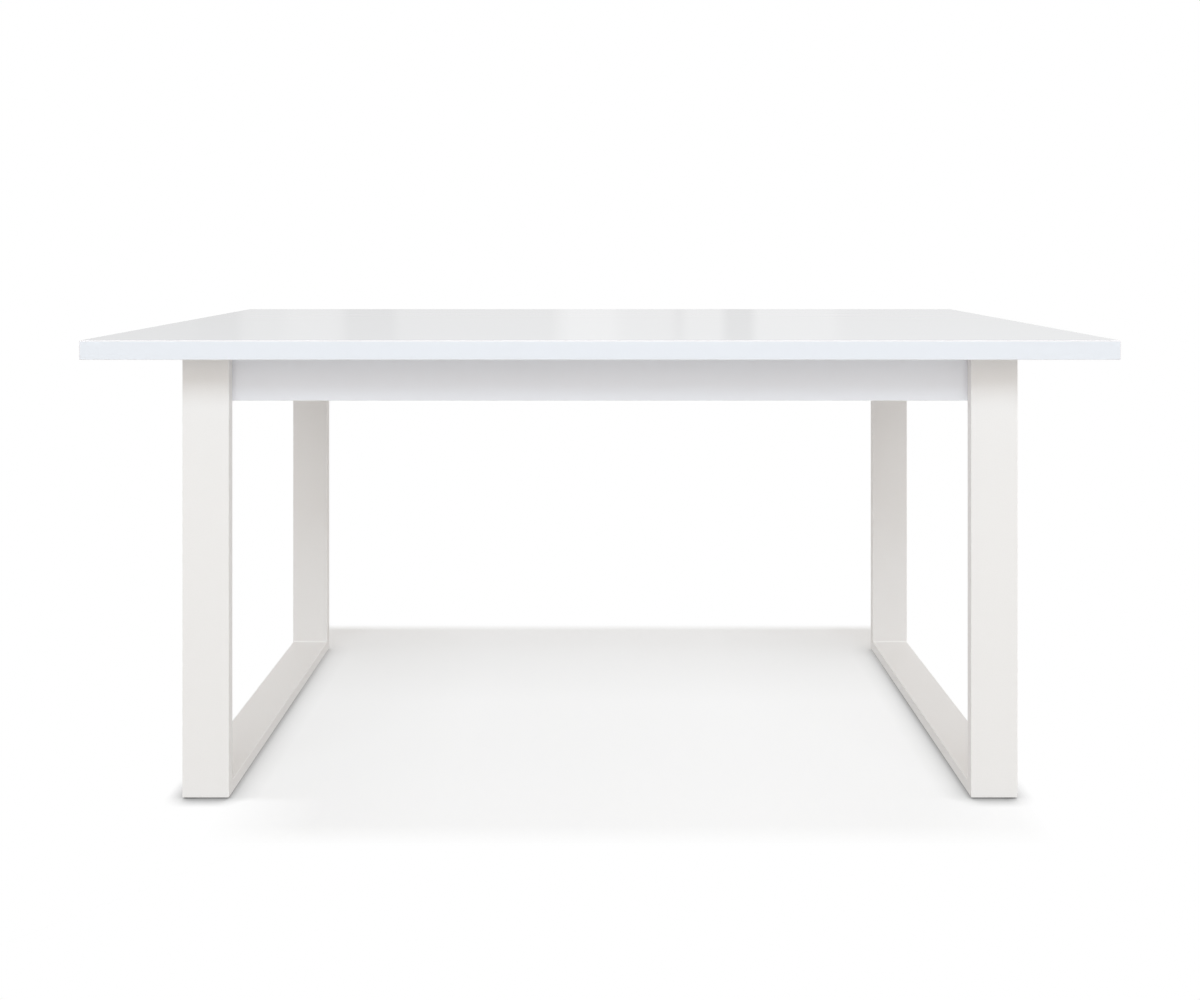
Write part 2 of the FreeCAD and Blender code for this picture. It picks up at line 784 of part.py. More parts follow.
def is_bracket_corner(edge):
    """True for the four short corner edges at the ends of a bracket's legs."""
    length = min(abs(edge.CenterOfMass.y), abs(edge.CenterOfMass.z))
    return not runs_along(edge, X_AXIS) and edge.Length < SIZES["bracket_leg"] / 2 and length > 0


def lay_along(body, end, y, z):
    """Repeats a bracket or its screw along an apron, and turns the row round for the rear apron."""
    repeat(body, "X_Axis", BRACKET_SPAN, BRACKET_COUNT)
    angle = 0 if end < 0 else HALF_TURN_DEGREES
    place(body, x=BRACKET_SPAN / 2 * end, y=y * end, z=z, angle=angle)


def wood_screw(body):
    """A pan head wood screw with a cross slot: its head is under nought and its point goes up."""
    head = s.screw_head_diameter / 2
    shank = s.screw_diameter / 2
    crown = -s.screw_head_height
    centre = crown + dome_radius(s.screw_head_diameter, s.screw_head_height)
    profile = new_sketch(body, "XZ_Plane", "half")
    outline(profile, [
        (NOUGHT, crown, NOUGHT, centre),
        (head, NOUGHT),
        (shank, NOUGHT),
        (shank, s.screw_length - s.screw_tip_length),
        (NOUGHT, s.screw_length),
    ])
    revolve(body, profile)

    reach = s.screw_slot_length / 2
    half = s.screw_slot_width / 2
    slot = new_sketch(body, "XY_Plane", "slot", crown)
    outline(slot, [
        (reach, -half),
        (reach, half),
        (half, half),
        (half, reach),
        (-half, reach),
        (-half, half),
        (-reach, half),
        (-reach, -half),
        (-half, -half),
        (-half, -reach),
        (half, -reach),
        (half, -half),
    ])
    pocket(body, slot, s.screw_slot_depth, backwards=True)


def bracket_screws(end_name, end):
    upright = new_body(f"{end_name}_bracket_top_screws")
    wood_screw(upright)
    lay_along(upright, end, APRON_BACK_Y - s.bracket_hole_distance, UNDERSIDE - s.bracket_gauge)
    level = new_body(f"{end_name}_bracket_apron_screws")
    wood_screw(level)
    repeat(level, "X_Axis", BRACKET_SPAN, BRACKET_COUNT)
    place(
        level,
        x=-(BRACKET_SPAN / 2),
        y=(APRON_BACK_Y - s.bracket_gauge) * end,
        z=UNDERSIDE - s.bracket_hole_distance,
        axis=X_AXIS,
        angle=-QUARTER_TURN_DEGREES * end,
    )


def check_and_export():
    """Stops on any failed feature or bad shape, then writes one file for each piece."""
    failed = [obj.Name for obj in doc.Objects if {"Invalid", "Error"} & set(obj.State)]
    if failed:
        raise RuntimeError(f"these features failed: {failed}")
    for body in parts:
        if body.Shape.isNull() or not body.Shape.isValid() or not body.Shape.Solids:
            raise RuntimeError(f"{body.Label} has no valid solid")
    os.makedirs("parts", exist_ok=True)
    for body in parts:
        body.Shape.exportStep(os.path.join("parts", f"{body.Label}.step"))
        print(body.Label, len(body.Shape.Solids), round(body.Shape.Volume))


SIDES = (("left", -1), ("right", 1))
ENDS = (("front", -1), ("rear", 1))
CORNERS = (("left", "front"), ("right", "front"), ("right", "rear"), ("left", "rear"))

make_sheet()
table_top()
for side_name, side in SIDES:
    for end_name, end in ENDS:
        leg(f"{side_name}_{end_name}_leg", side, end)
        glide(f"{side_name}_{end_name}_glide", side, end)
        turn = CORNERS.index((side_name, end_name)) * QUARTER_TURN_DEGREES
        corner_block(f"{side_name}_{end_name}_corner_block", side, end, turn)
    floor_rail(f"{side_name}_floor_rail", side)
    top_plate(f"{side_name}_top_plate", side)
    frame_welds(f"{side_name}_frame_welds", side)
    plate_fixings(side_name, side)
    apron_fixings(side_name, side)
    end_apron = cross_board(f"{side_name}_end_apron", NOTCH_HEIGHT, s.apron_thickness)
    end_apron_x = APRON_END_X - s.apron_thickness / 2
    place(end_apron, x=end_apron_x * side, z=APRON_BOTTOM)
    dowel_group(f"{side_name}_apron_dowels", end_apron_x * side, NOTCH_HEIGHT, APRON_BOTTOM)
for end_name, end in ENDS:
    long_apron(f"{end_name}_apron", end)
    brackets(f"{end_name}_apron_brackets", end)
    bracket_screws(end_name, end)
cross_rail = cross_board("centre_cross_rail", s.cross_rail_height, s.cross_rail_thickness)
place(cross_rail, z=UNDERSIDE - s.cross_rail_height)
dowel_group("cross_rail_dowels", NOUGHT, s.cross_rail_height, UNDERSIDE - s.cross_rail_height)
doc.recompute()
check_and_export()
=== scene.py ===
"""Studio picture of a white sled-base dining table: materials for every piece, floor, lights and camera."""

import json
import math

import bpy
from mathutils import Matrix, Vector


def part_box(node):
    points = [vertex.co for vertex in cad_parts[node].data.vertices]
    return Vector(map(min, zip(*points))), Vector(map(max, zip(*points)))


# The picture that the camera is fitted to, in pixels
PICTURE_WIDTH = 1200
PICTURE_HEIGHT = 1000
HORIZON_ROW = 244.86
FOCAL_LENGTH_PIXELS = 1205.0

# Camera, in metres, millimetres of film and degrees
CAMERA_TO_TOP_EDGE = 1.848
CAMERA_ABOVE_TOP = 0.1464
FILM_WIDTH_MM = 36.0
LEVEL_TILT_DEGREES = 90.0

WHITE = (1.0, 1.0, 1.0, 1.0)

# Sockets of the colour mix node, which has several with the same name
MIX_FIRST, MIX_SECOND, MIX_RESULT = 6, 7, 2


def colour(red, green, blue):
    return (red, green, blue, 1.0)


def scaled(tone, share):
    """A colour from red, green and blue, each times the share."""
    return colour(*(share * part for part in tone))


# Node helpers

def add(tree, kind, inputs=None, **settings):
    """A new node. An input is given a number, a colour or the output of another node."""
    node = tree.nodes.new(kind)
    for name, value in settings.items():
        setattr(node, name, value)
    for name, value in (inputs or {}).items():
        if isinstance(value, bpy.types.NodeSocket):
            tree.links.new(value, node.inputs[name])
        else:
            node.inputs[name].default_value = value
    return node


def new_material(name):
    """A material with a lone surface shader, and its node tree."""
    material = bpy.data.materials.new(name)
    material.use_nodes = True
    tree = material.node_tree
    tree.nodes.clear()
    surface = add(tree, "ShaderNodeBsdfPrincipled")
    output = add(tree, "ShaderNodeOutputMaterial")
    tree.links.new(surface.outputs["BSDF"], output.inputs["Surface"])
    return material, tree, surface


def object_place(tree):
    return add(tree, "ShaderNodeTexCoord").outputs["Object"]


def stretched(tree, place, scale):
    mapping = add(tree, "ShaderNodeMapping", {"Vector": place, "Scale": scale})
    return mapping.outputs["Vector"]


def grain(tree, place, size, detail=2.0):
    """Smooth noise from 0 to 1 whose features are about that many metres across."""
    noise = add(tree, "ShaderNodeTexNoise", {"Vector": place, "Scale": 1 / size, "Detail": detail})
    return noise.outputs["Fac"]


def ranged(tree, value, low, high, start=0.0, end=1.0):
    """A value that goes from low to high while the given one goes from start to end."""
    inputs = {"Value": value, "From Min": start, "From Max": end, "To Min": low, "To Max": high}
    return add(tree, "ShaderNodeMapRange", inputs).outputs["Result"]


def maths(tree, operation, *values):
    return add(tree, "ShaderNodeMath", dict(enumerate(values)), operation=operation).outputs["Value"]


def mixed(tree, factor, first, second):
    inputs = {"Factor": factor, MIX_FIRST: first, MIX_SECOND: second}
    return add(tree, "ShaderNodeMix", inputs, data_type="RGBA").outputs[MIX_RESULT]


def bumped(tree, height, depth, normal=None):
    """The normal of a surface whose height goes from 0 to the depth, in metres."""
    inputs = {"Height": height, "Distance": depth, "Strength": 1.0}
    if normal is not None:
        inputs["Normal"] = normal
    return add(tree, "ShaderNodeBump", inputs).outputs["Normal"]


def join(tree, node, inputs):
    for name, value in inputs.items():
        tree.links.new(value, node.inputs[name])


# The largest part of a normal on a rounded edge and on a flat face, and its upward part on an underside and
# elsewhere
EDGE_TURN = (0.86, 0.985)
UNDERSIDE_TURN = (-0.9, -0.6)


def surface_normal(tree):
    return add(tree, "ShaderNodeNewGeometry").outputs["Normal"]


def rounded_edge(tree):
    """1 on a rounded edge or a weld and 0 on a flat face, because every flat face lies square to an axis."""
    sizes = add(tree, "ShaderNodeVectorMath", {0: surface_normal(tree)}, operation="ABSOLUTE").outputs[0]
    parts = add(tree, "ShaderNodeSeparateXYZ", {"Vector": sizes}).outputs
    largest = maths(tree, "MAXIMUM", maths(tree, "MAXIMUM", parts["X"], parts["Y"]), parts["Z"])
    return ranged(tree, largest, 1.0, 0.0, *EDGE_TURN)


def facing_down(tree):
    """1 on an underside and 0 elsewhere."""
    parts = add(tree, "ShaderNodeSeparateXYZ", {"Vector": surface_normal(tree)}).outputs
    return ranged(tree, parts["Z"], 1.0, 0.0, *UNDERSIDE_TURN)


# Materials, with the sizes of their features and the depths of their bumps in metres

# The stretch of a noise that holds most of its values
NOISE_MIDDLE = (0.3, 0.7)
COATING_IOR = 1.5

LACQUER_CLOUD_SIZE = 0.3
LACQUER_SHADE_SHARE = 0.985
LACQUER_MARK_SIZE = 1 / 600
LACQUER_MARK_STRETCH = (0.01, 1.0, 1.0)
LACQUER_MARK_RANGE = (0.35, 0.75)
LACQUER_MARK_ROUGHNESS_SHARE = 1.35
LACQUER_PEEL_SIZE = 0.006
LACQUER_PEEL_DEPTH = 2e-6
PRIMER_LIGHT = colour(0.815, 0.825, 0.835)
PRIMER_DARK = colour(0.765, 0.775, 0.785)
PRIMER_FIBRE_SIZE = 0.003
PRIMER_ROUGHNESS = 0.55


def lacquer(name, tone, edge_highlight, gloss, primed_below=False):
    """Sprayed lacquer on fibreboard: faint clouds, painted edge highlights, orange peel, hairline wiping
    marks.

    With primed_below, what faces down has no more than matt primer.
    """
    material, tree, surface = new_material(name)
    place = object_place(tree)
    clouds = grain(tree, place, LACQUER_CLOUD_SIZE)
    tint = mixed(tree, clouds, colour(*tone), scaled(tone, LACQUER_SHADE_SHARE))
    # The lighter tone on rounded edges is a painted highlight
    tint = mixed(tree, rounded_edge(tree), tint, colour(*edge_highlight))
    marks = grain(tree, stretched(tree, place, LACQUER_MARK_STRETCH), LACQUER_MARK_SIZE, detail=3.0)
    roughness = ranged(tree, marks, gloss, gloss * LACQUER_MARK_ROUGHNESS_SHARE, *LACQUER_MARK_RANGE)
    if primed_below:
        below = facing_down(tree)
        fibres = ranged(tree, grain(tree, place, PRIMER_FIBRE_SIZE, detail=4.0), 0.0, 1.0, *NOISE_MIDDLE)
        tint = mixed(tree, below, tint, mixed(tree, fibres, PRIMER_DARK, PRIMER_LIGHT))
        roughness = ranged(tree, below, roughness, PRIMER_ROUGHNESS)
    join(tree, surface, {
        "Base Color": tint,
        "Roughness": roughness,
        "Normal": bumped(tree, grain(tree, place, LACQUER_PEEL_SIZE, detail=1.0), LACQUER_PEEL_DEPTH),
    })
    surface.inputs["IOR"].default_value = COATING_IOR
    return material


POWDER_MOTTLE_SIZE = 0.0018
POWDER_SHADE_SHARE = 0.972
POWDER_ROUGHNESS = (0.42, 0.52)
POWDER_EDGE_ROUGHNESS = 0.36
POWDER_TEXTURE_SIZE = 0.0011
POWDER_TEXTURE_DEPTH = 2.5e-5


def powder_coat(name, tone, edge_highlight):
    """Baked powder paint on steel: fine texture, mottled tone, and smoother edges with a painted highlight.
    """
    material, tree, surface = new_material(name)
    place = object_place(tree)
    edge = rounded_edge(tree)
    mottle = grain(tree, place, POWDER_MOTTLE_SIZE, detail=3.0)
    patches = ranged(tree, mottle, 0.0, 1.0, *NOISE_MIDDLE)
    tint = mixed(tree, patches, scaled(tone, POWDER_SHADE_SHARE), colour(*tone))
    texture = grain(tree, place, POWDER_TEXTURE_SIZE, detail=2.0)
    # The lighter tone on rounded edges and welds is a painted highlight
    join(tree, surface, {
        "Base Color": mixed(tree, edge, tint, colour(*edge_highlight)),
        "Roughness": ranged(tree, edge, ranged(tree, mottle, *POWDER_ROUGHNESS), POWDER_EDGE_ROUGHNESS),
        "Normal": bumped(tree, texture, POWDER_TEXTURE_DEPTH),
    })
    surface.inputs["IOR"].default_value = COATING_IOR
    return material


ZINC_COOL = colour(0.60, 0.62, 0.66)
ZINC_WARM = colour(0.70, 0.69, 0.63)
ZINC_BLOTCH_SIZE = 0.004
ZINC_LINE_SIZE = 0.0004
ZINC_LINE_STRETCH = (1.0, 1.0, 0.1)
ZINC_LINE_DEPTH = 6e-6
ZINC_ROUGHNESS = (0.24, 0.40)


def plated_steel(name):
    """Bright zinc plate with a faintly uneven passivated tone and fine drawing lines."""
    material, tree, surface = new_material(name)
    place = object_place(tree)
    blotches = grain(tree, place, ZINC_BLOTCH_SIZE, detail=3.0)
    lines = grain(tree, stretched(tree, place, ZINC_LINE_STRETCH), ZINC_LINE_SIZE, detail=1.0)
    join(tree, surface, {
        "Base Color": mixed(tree, blotches, ZINC_COOL, ZINC_WARM),
        "Roughness": ranged(tree, lines, *ZINC_ROUGHNESS),
        "Normal": bumped(tree, lines, ZINC_LINE_DEPTH),
    })
    surface.inputs["Metallic"].default_value = 1.0
    return material


BRASS_DARK = colour(0.62, 0.44, 0.17)
BRASS_LIGHT = colour(0.74, 0.56, 0.25)
BRASS_TONE_SIZE = 0.003
BRASS_RING_SIZE = 0.0005
BRASS_RING_STRETCH = (0.05, 0.05, 1.0)
BRASS_RING_DEPTH = 1e-5
BRASS_ROUGHNESS = (0.22, 0.38)


def turned_brass(name):
    """Brass with the fine rings that a lathe leaves."""
    material, tree, surface = new_material(name)
    place = object_place(tree)
    rings = grain(tree, stretched(tree, place, BRASS_RING_STRETCH), BRASS_RING_SIZE, detail=1.0)
    join(tree, surface, {
        "Base Color": mixed(tree, grain(tree, place, BRASS_TONE_SIZE), BRASS_DARK, BRASS_LIGHT),
        "Roughness": ranged(tree, rings, *BRASS_ROUGHNESS),
        "Normal": bumped(tree, rings, BRASS_RING_DEPTH),
    })
    surface.inputs["Metallic"].default_value = 1.0
    return material


ALONG_Y = 1
ALONG_Z = 2
BEECH_DARK = colour(0.60, 0.40, 0.24)
BEECH_LIGHT = colour(0.74, 0.55, 0.37)
BEECH_BAND_SIZE = 0.004
BEECH_BAND_STRETCH = 0.06
BEECH_BAND_DEPTH = 6e-5
BEECH_ROUGHNESS = (0.5, 0.65)
FLECK_TONE = colour(0.36, 0.20, 0.10)
FLECK_SIZE = 0.0007
FLECK_STRETCH = 0.25
FLECK_RANGE = (0.64, 0.72)
FLECK_STRENGTH = 0.55


def beech(name, along):
    """Bare beech with its grain along one axis, and the short dark flecks of that wood."""
    material, tree, surface = new_material(name)
    place = object_place(tree)
    band_stretch = tuple(BEECH_BAND_STRETCH if axis == along else 1.0 for axis in range(3))
    fleck_stretch = tuple(FLECK_STRETCH if axis == along else 1.0 for axis in range(3))
    bands = grain(tree, stretched(tree, place, band_stretch), BEECH_BAND_SIZE, detail=4.0)
    flecks = grain(tree, stretched(tree, place, fleck_stretch), FLECK_SIZE, detail=1.0)
    wood = mixed(tree, bands, BEECH_DARK, BEECH_LIGHT)
    fleck = ranged(tree, flecks, 0.0, FLECK_STRENGTH, *FLECK_RANGE)
    join(tree, surface, {
        "Base Color": mixed(tree, fleck, wood, FLECK_TONE),
        "Roughness": ranged(tree, bands, *BEECH_ROUGHNESS),
        "Normal": bumped(tree, bands, BEECH_BAND_DEPTH),
    })
    return material


PLASTIC_LIGHT_SHARE = 1.25
PLASTIC_ROUGHNESS = (0.45, 0.6)
PLASTIC_TEXTURE_SIZE = 0.0005
PLASTIC_TEXTURE_DEPTH = 2e-5


def moulded_plastic(name, tone):
    """Tough dark plastic with a spark-eroded mould texture."""
    material, tree, surface = new_material(name)
    place = object_place(tree)
    texture = grain(tree, place, PLASTIC_TEXTURE_SIZE, detail=2.0)
    join(tree, surface, {
        "Base Color": mixed(tree, texture, colour(*tone), scaled(tone, PLASTIC_LIGHT_SHARE)),
        "Roughness": ranged(tree, texture, *PLASTIC_ROUGHNESS),
        "Normal": bumped(tree, texture, PLASTIC_TEXTURE_DEPTH),
    })
    return material


# The edge tones are painted highlights on rounded edges and welds
TOP_TONE = (0.820, 0.846, 0.894)
TOP_EDGE_HIGHLIGHT = (0.872, 0.848, 0.868)
TOP_ROUGHNESS = 0.035
# The apron has the same lacquer as the top: its lighter tone is painted light
APRON_PAINTED_LIGHT_TONE = (0.886, 0.897, 0.937)
APRON_EDGE_HIGHLIGHT = (0.91, 0.90, 0.91)
APRON_ROUGHNESS = 0.12
TUBE_TONE = (0.888, 0.869, 0.854)
TUBE_EDGE_HIGHLIGHT = (0.945, 0.928, 0.912)
GLIDE_TONE = (0.03, 0.03, 0.032)


def dress(frame):
    """Gives every piece of the model the material of its slot."""
    finishes = {
        "top_lacquer": lacquer("top_lacquer", TOP_TONE, TOP_EDGE_HIGHLIGHT, TOP_ROUGHNESS, primed_below=True),
        "apron_lacquer": lacquer("apron_lacquer", APRON_PAINTED_LIGHT_TONE, APRON_EDGE_HIGHLIGHT, APRON_ROUGHNESS),
        "powder_coat": powder_coat("powder_coat", TUBE_TONE, TUBE_EDGE_HIGHLIGHT),
        "zinc_steel": plated_steel("zinc_steel"),
        "brass": turned_brass("brass"),
        "glide_plastic": moulded_plastic("glide_plastic", GLIDE_TONE),
    }
    dowel_beech = beech("dowel_beech", ALONG_Y)
    block_beech = beech("block_beech", ALONG_Z)
    for part in frame["record"]["subparts"]:
        node = part["node"]
        if part["material_slot"] == "beech":
            finish = dowel_beech if node.endswith("dowels") else block_beech
        else:
            finish = finishes[part["material_slot"]]
        for material_slot in frame["nodes"][node].material_slots:
            material_slot.material = finish


# Stage

# The shadow that the floor keeps to the eye: its depth from front to back and towards the frames, the oblong
# that it fades out around, and how it thins out in front of the feet and from left to right. Places are in
# metres from the frames' outer sides, where outwards is positive, from their front or from their rear, as the
# names say. Spans are measured from the middle of the table.
SHADOW_FRONT = 0.27
SHADOW_REAR = 0.50
SHADOW_RAMP_FROM_REAR = (-0.30, 0.04)
SHADOW_BY_FRAMES = 1.4
SHADOW_FRAME_RAMP_FROM_SIDE = (-0.422, -0.092)
SHADOW_END_FROM_SIDE = (-0.027, 0.016)
SHADOW_END_FROM_REAR = (0.13, 0.17)
SHADOW_END_FROM_FRONT = (-0.15, -0.09)
SHADOW_TILT = (1.10, 0.84)
SHADOW_TILT_SPAN = (-0.45, 0.45)
FEET_FROM_FRONT = (-0.01, 0.008)
LEFT_GAP_FROM_SIDE = (-0.072, -0.232)
RIGHT_GAP_FROM_SIDE = (-0.192, -0.032)
RIGHT_GAP_SHARE = 0.55

# The contact shadow along the frames, the dark line in the gap under them, and the light that the paper
# gives back
CONTACT_REACH = 0.05
CONTACT_REACH_FEET = 0.030
CONTACT_DEPTH_FEET = 1.3
CONTACT_DEPTH_OUTSIDE = (1.1, 0.7)
CONTACT_OUTSIDE_SPAN = (-0.5, 0.5)
CONTACT_FROM_SIDE = (-0.017, 0.003)
CONTACT_END_FROM_FRONT = (0.05, 0.09)
CREVICE_REACH = 0.009
CREVICE_DEPTH = 0.75
GLOW = 0.75
GLOW_REACH = (0.02, 0.06)

# Half the width of the floor in metres, its tone under light, and the samples of its contact shadow
FLOOR_HALF = 40.0
FLOOR_TONE = colour(0.88, 0.88, 0.88)
OCCLUSION_SAMPLES = 16


def occlusion(tree, reach):
    """1 in the open and less where something lies within reach."""
    node = add(tree, "ShaderNodeAmbientOcclusion", {"Distance": reach}, samples=OCCLUSION_SAMPLES)
    return node.outputs["AO"]


def shifted(place, span):
    """Both ends of a span, measured from a place."""
    return tuple(place + part for part in span)


def floor_material(frames_box):
    """White floor: plain bounce for the light on the table, white paper with a soft shadow to the eye."""
    left, right = frames_box[0].x, frames_box[1].x
    front, rear = frames_box[0].y, frames_box[1].y
    material = bpy.data.materials.new("studio_floor")
    material.use_nodes = True
    tree = material.node_tree
    tree.nodes.clear()
    place = add(tree, "ShaderNodeSeparateXYZ", {"Vector": object_place(tree)}).outputs
    sideways = maths(tree, "ABSOLUTE", place["X"])
    shadow_ramp = shifted(rear, SHADOW_RAMP_FROM_REAR)

    # Contact shadow: tight in front of the frames and outside them, and deepest in front. Outside it thins
    # from left to right, and ends a little behind the front.
    outside = ranged(tree, sideways, 0.0, 1.0, *shifted(right, CONTACT_FROM_SIDE))
    behind = ranged(tree, place["Y"], 0.0, 1.0, *shifted(front, CONTACT_END_FROM_FRONT))
    ahead = ranged(tree, place["Y"], 1.0, 0.0, *shifted(front, FEET_FROM_FRONT))
    tight = maths(tree, "MAXIMUM", ahead, outside)
    reach = ranged(tree, tight, CONTACT_REACH, CONTACT_REACH_FEET)
    contact = occlusion(tree, reach)
    depth = ranged(tree, ahead, 1.0, CONTACT_DEPTH_FEET)
    depth_outside = ranged(tree, place["X"], *CONTACT_DEPTH_OUTSIDE, *CONTACT_OUTSIDE_SPAN)
    contact = maths(tree, "POWER", contact, ranged(tree, outside, depth, depth_outside))
    crevice = occlusion(tree, CREVICE_REACH)
    darkest = ranged(tree, outside, 1.0 - CREVICE_DEPTH, 1.0)
    contact = maths(tree, "MULTIPLY", contact, ranged(tree, crevice, darkest, 1.0))
    shade = mixed(tree, maths(tree, "MULTIPLY", outside, behind), contact, WHITE)
    paper = add(tree, "ShaderNodeEmission", {"Color": shade, "Strength": 1.0})

    left_gap = ranged(tree, place["X"], 0.0, 1.0, *(left - part for part in LEFT_GAP_FROM_SIDE))
    right_gap = ranged(tree, place["X"], 1.0, RIGHT_GAP_SHARE, *shifted(right, RIGHT_GAP_FROM_SIDE))
    tilt = ranged(tree, place["X"], *SHADOW_TILT, *SHADOW_TILT_SPAN)
    kept = ranged(tree, place["Y"], SHADOW_FRONT, SHADOW_REAR, *shadow_ramp)
    for share in (
        ranged(tree, place["Y"], tilt, 1.0, *shadow_ramp),
        ranged(tree, ahead, 1.0, maths(tree, "MULTIPLY", left_gap, right_gap)),
        ranged(tree, sideways, 1.0, SHADOW_BY_FRAMES, *shifted(right, SHADOW_FRAME_RAMP_FROM_SIDE)),
        ranged(tree, sideways, 1.0, 0.0, *shifted(right, SHADOW_END_FROM_SIDE)),
        ranged(tree, place["Y"], 1.0, 0.0, *shifted(rear, SHADOW_END_FROM_REAR)),
        ranged(tree, place["Y"], 0.0, 1.0, *shifted(front, SHADOW_END_FROM_FRONT)),
    ):
        kept = maths(tree, "MULTIPLY", kept, share)

    bounce = add(tree, "ShaderNodeBsdfDiffuse", {"Color": FLOOR_TONE})
    light_path = add(tree, "ShaderNodeLightPath").outputs
    seen = maths(tree, "MAXIMUM", light_path["Is Camera Ray"], light_path["Is Glossy Ray"])
    seen = maths(tree, "MAXIMUM", seen, light_path["Is Transmission Ray"])
    share = maths(tree, "MULTIPLY", seen, maths(tree, "SUBTRACT", 1.0, kept))
    mix = add(tree, "ShaderNodeMixShader", {0: share, 1: bounce.outputs[0], 2: paper.outputs[0]})

    # What lies close to the paper gets light back from it, down in the gap under the rails too
    close = ranged(tree, light_path["Ray Length"], 1.0, 0.0, *GLOW_REACH)
    close = maths(tree, "MULTIPLY", close, light_path["Is Diffuse Ray"])
    glow = add(tree, "ShaderNodeEmission", {"Color": WHITE, "Strength": GLOW})
    mix = add(tree, "ShaderNodeMixShader", {0: close, 1: mix.outputs[0], 2: glow.outputs[0]})

    # From below, the floor is clear glass and the underside of the table shows
    clear = add(tree, "ShaderNodeBsdfTransparent")
    from_below = add(tree, "ShaderNodeNewGeometry").outputs["Backfacing"]
    both = add(tree, "ShaderNodeMixShader", {0: from_below, 1: mix.outputs[0], 2: clear.outputs[0]})
    output = add(tree, "ShaderNodeOutputMaterial")
    tree.links.new(both.outputs[0], output.inputs["Surface"])
    return material


def add_floor(frames_box):
    mesh = bpy.data.meshes.new("floor")
    corners = [(x * FLOOR_HALF, y * FLOOR_HALF, 0.0) for x, y in ((-1, -1), (1, -1), (1, 1), (-1, 1))]
    mesh.from_pydata(corners, [], [(0, 1, 2, 3)])
    mesh.materials.append(floor_material(frames_box))
    floor = bpy.data.objects.new("floor", mesh)
    bpy.context.scene.collection.objects.link(floor)


# Ambient light, weaker from the left
AMBIENT = 0.512
AMBIENT_LEFT = 0.40
AMBIENT_RAMP = (-1.0, -0.2)
AMBIENT_COLOUR = colour(1.075, 1.0, 0.925)

# Wall panels that the top mirrors: the left end of each in degrees from straight ahead, and its brightness
# beside white paper. They blend over a seam. From the outer ones on, the wall fades to the level of the rest
# of the room.
WALL_END = 25.0
WALL_SEAM = 0.15
WALL_PANELS = (
    (-WALL_END, 0.79), (-18.6, 0.775), (-16.5, 0.84), (-14.6, 0.87), (-12.1, 0.79), (-9.7, 0.845),
    (-1.9, 0.935), (0.9, 0.885), (3.4, 0.83), (4.05, 0.895), (5.9, 0.79), (7.2, 0.905), (11.2, 0.86),
)
ROOM_SPAN = 60.0
ROOM_LEVEL = 0.83

# The rest of the room has windows at even bearings. They are brighter than its level, and the wall between is
# darker by as much.
WINDOW_COUNT = 10
WINDOW_CONTRAST = 0.22
WINDOW_EDGE = (-0.3, 0.3)
WINDOW_START = (60.0, 75.0)

# What the walls gain higher up and what the ceiling adds, by the upward part of the direction
WALL_RISE = 0.03
WALL_RISE_RAMP = (0.05, 0.085)
OVERHEAD_SHINE = 1.6
OVERHEAD_RAMP = (0.60, 0.72)


def wall_brightness(tree, parts):
    """Brightness of the mirrored room: panels and windows, brighter higher up, and a bright ceiling."""
    bearing = maths(tree, "ARCTAN2", parts["X"], parts["Y"])
    span = math.radians(ROOM_SPAN)
    ramp = add(tree, "ShaderNodeValToRGB", {"Fac": ranged(tree, bearing, 0.0, 1.0, -span, span)})
    stops = ramp.color_ramp.elements
    for end in stops:
        end.color = colour(ROOM_LEVEL, ROOM_LEVEL, ROOM_LEVEL)
    last = WALL_PANELS[0][1]
    edges = [(-WALL_END, last)]
    for degrees, brightness in WALL_PANELS[1:]:
        edges += [(degrees - WALL_SEAM, last), (degrees + WALL_SEAM, brightness)]
        last = brightness
    edges.append((WALL_END, last))
    for degrees, level in edges:
        stop = stops.new((degrees + ROOM_SPAN) / (2 * ROOM_SPAN))
        stop.color = colour(level, level, level)
    wave = maths(tree, "COSINE", maths(tree, "MULTIPLY", bearing, WINDOW_COUNT))
    windows = ranged(tree, wave, -WINDOW_CONTRAST, WINDOW_CONTRAST, *WINDOW_EDGE)
    beside = ranged(tree, maths(tree, "ABSOLUTE", bearing), 0.0, 1.0, *map(math.radians, WINDOW_START))
    panels = maths(tree, "ADD", ramp.outputs["Color"], maths(tree, "MULTIPLY", windows, beside))
    rise = ranged(tree, parts["Z"], 0.0, WALL_RISE, *WALL_RISE_RAMP)
    ceiling = ranged(tree, parts["Z"], 0.0, OVERHEAD_SHINE, *OVERHEAD_RAMP)
    return maths(tree, "ADD", panels, maths(tree, "ADD", rise, ceiling))


def add_world():
    """White to the eye, soft walls to a reflection and an even ambient light for the rest."""
    world = bpy.data.worlds.new("studio")
    bpy.context.scene.world = world
    world.use_nodes = True
    tree = world.node_tree
    tree.nodes.clear()
    light_path = add(tree, "ShaderNodeLightPath").outputs
    direction = add(tree, "ShaderNodeTexCoord").outputs["Generated"]
    parts = add(tree, "ShaderNodeSeparateXYZ", {"Vector": direction}).outputs
    ambient = ranged(tree, parts["X"], AMBIENT_LEFT, AMBIENT, *AMBIENT_RAMP)
    strength = ranged(tree, light_path["Is Glossy Ray"], ambient, wall_brightness(tree, parts))
    direct = maths(tree, "MAXIMUM", light_path["Is Camera Ray"], light_path["Is Transmission Ray"])
    strength = maths(tree, "MAXIMUM", strength, direct)
    seen = maths(tree, "MAXIMUM", direct, light_path["Is Glossy Ray"])
    tint = mixed(tree, seen, AMBIENT_COLOUR, WHITE)
    background = add(tree, "ShaderNodeBackground", {"Color": tint, "Strength": strength})
    output = add(tree, "ShaderNodeOutputWorld")
    tree.links.new(background.outputs[0], output.inputs["Surface"])


